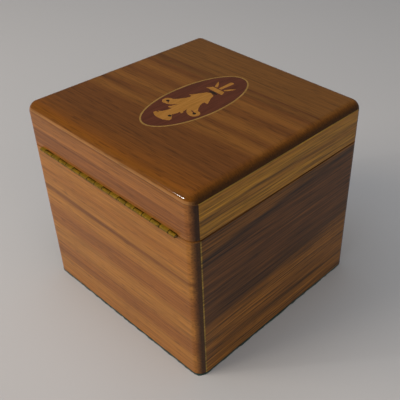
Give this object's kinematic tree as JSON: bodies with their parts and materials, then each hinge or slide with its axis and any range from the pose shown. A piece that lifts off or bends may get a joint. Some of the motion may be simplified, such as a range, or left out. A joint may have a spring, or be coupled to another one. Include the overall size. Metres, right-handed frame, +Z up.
{
  "type": "wooden money box",
  "caption": "Near-cubic lacquered wooden money box: lid on a continuous brass hinge, oval marquetry panel in the top, coin slot in the lid's front, small lock, baize base.",
  "frame": {"origin": "centre of the underside, on the baize that the box stands on", "axes": "+Z up, -Y the front with the keyhole and coin slot, +Y the back with the hinge, +X to the right seen from the front"},
  "size_m": [0.133, 0.135, 0.1222],
  "materials": {
    "walnut_body": "gloss lacquer over walnut",
    "walnut_lid": "gloss lacquer over walnut",
    "mahogany": "gloss lacquer over dark mahogany veneer",
    "boxwood": "gloss lacquer over aged boxwood veneer",
    "ebony": "gloss lacquer over dark stained veneer",
    "brass": "plain rolled brass, slightly dulled",
    "steel": "plain drawn steel",
    "baize": "napped woollen baize, dark green"
  },
  "bodies": {
    "box": {"body_front_board": "walnut_body", "body_back_board": "walnut_body", "body_left_board": "walnut_body", "body_right_board": "walnut_body", "base_board": "walnut_body", "base_baize": "baize", "hinge_leaf_body": "brass", "hinge_pin": "steel", "hinge_screws_body": "brass", "lock_plate": "brass", "lock_cover": "brass", "lock_studs": "steel", "lock_spring": "steel", "lock_key_post": "steel", "lock_screws": "brass", "keyhole_liner": "brass"},
    "lid": {"lid_top_board": "walnut_lid", "lid_front_rail": "walnut_lid", "lid_back_rail": "walnut_lid", "lid_left_rail": "walnut_lid", "lid_right_rail": "walnut_lid", "inlay_ground": "mahogany", "inlay_stringing": "boxwood", "inlay_leaf": "boxwood", "inlay_tie": "boxwood", "inlay_stems": "boxwood", "inlay_dark_accents": "ebony", "hinge_leaf_lid": "brass", "hinge_screws_lid": "brass", "strike_plate": "brass", "strike_screws": "brass"},
    "bolt": {"lock_bolt": "steel"}
  },
  "joints": [
    {"name": "lid_hinge", "type": "hinge", "parent": "box", "child": "lid", "pos_m": [0, 0.0675, 0.0964], "axis": [-1, 0, 0], "range_deg": [0, 180]},
    {"name": "bolt_slide", "type": "slide", "parent": "box", "child": "bolt", "axis": [-1, 0, 0], "range_m": [0, 0.003]}
  ]
}
